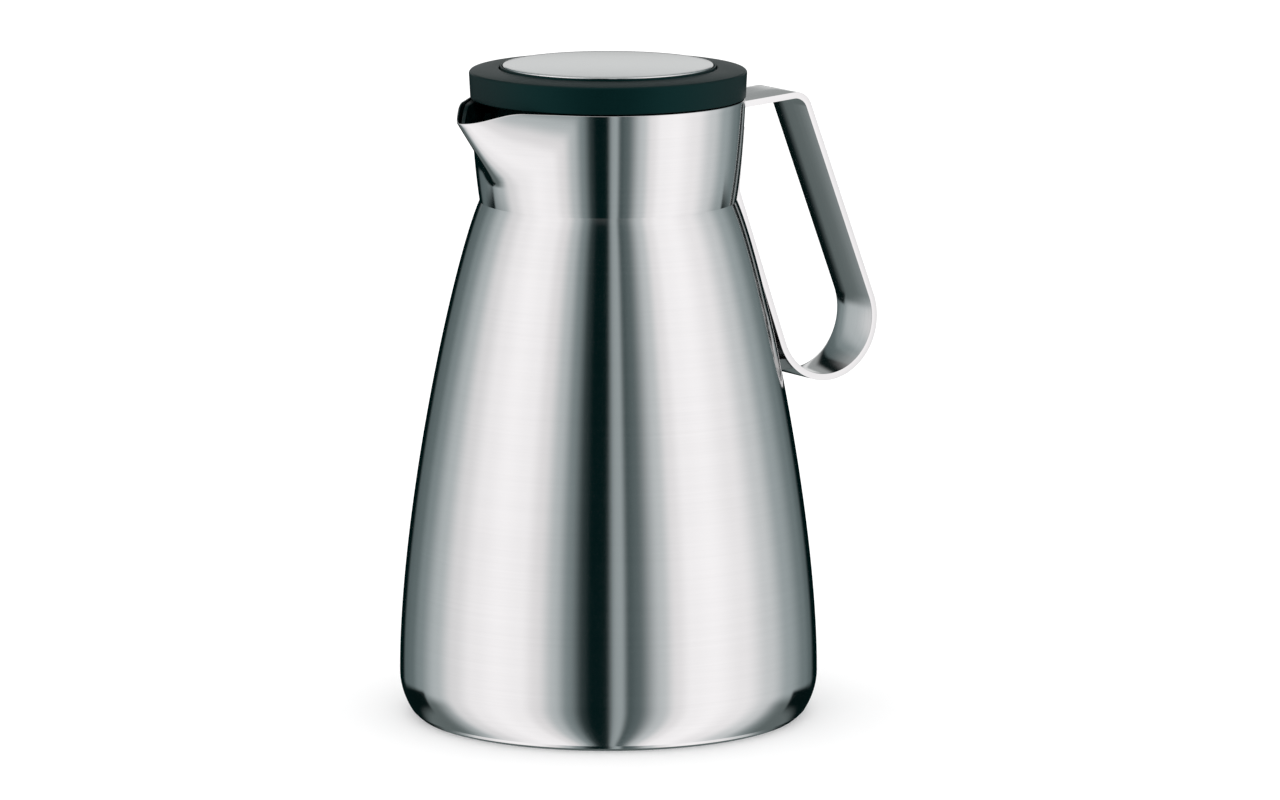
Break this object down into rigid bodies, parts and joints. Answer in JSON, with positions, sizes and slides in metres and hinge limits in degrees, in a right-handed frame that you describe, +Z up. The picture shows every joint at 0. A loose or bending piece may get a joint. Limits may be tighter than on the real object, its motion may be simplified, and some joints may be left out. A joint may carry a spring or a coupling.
{
  "type": "vacuum jug with push-button pouring lid",
  "caption": "Double-wall steel serving jug with a pressed spout, a bent strip handle and a screw lid whose push button opens a pouring valve.",
  "frame": {"origin": "middle of the face that the jug stands on", "axes": "+Z up along the axis of the body, -X towards the spout, +X towards the handle, +Y across"},
  "size_m": [0.1736, 0.1412, 0.2208],
  "materials": {
    "shell_steel": "satin, brushed round the body",
    "handle_steel": "satin, brushed along the strip",
    "button_steel": "satin",
    "inner_steel": "plain drawn",
    "black_plastic": "satin moulded",
    "base_rubber": "matt",
    "silicone": "matt, translucent grey"
  },
  "bodies": {
    "jug": {"body_shell": "shell_steel", "neck_collar": "shell_steel", "base_plate": "shell_steel", "base_cover": "base_rubber", "vacuum_seal": "inner_steel", "inner_flask": "inner_steel", "flask_base": "inner_steel", "getter_capsule": "inner_steel", "neck_insert": "black_plastic", "insert_gasket": "silicone", "handle_strap": "handle_steel", "handle_stay": "handle_steel"},
    "seal": {"stopper_gasket": "silicone"},
    "lid": {"lid_ring": "black_plastic", "stopper_body": "black_plastic", "valve_seat": "black_plastic", "stem_seal": "silicone", "spring_seat": "inner_steel", "return_spring": "inner_steel"},
    "button": {"button_disc": "button_steel", "button_carrier": "black_plastic", "valve_stem": "inner_steel", "valve_disc": "black_plastic", "valve_seal": "silicone", "stem_clip": "inner_steel"}
  },
  "joints": [
    {"name": "lid_lift", "type": "slide", "parent": "jug", "child": "seal", "axis": [0, 0, 1], "range_m": [0, 0.04]},
    {"name": "lid_turn", "type": "hinge", "parent": "seal", "child": "lid", "pos_m": [0, 0, 0.209], "axis": [0, 0, 1], "range_deg": [0, 360]},
    {"name": "button_press", "type": "slide", "parent": "lid", "child": "button", "axis": [0, 0, -1], "range_m": [0, 0.005], "stiffness_N_per_m": 400, "springref_m": -0.006, "deforming": ["return_spring"]}
  ],
  "couplings": [
    {"joint": "lid_lift", "follows": "lid_turn", "m_per_rad": 0.0063662}
  ]
}
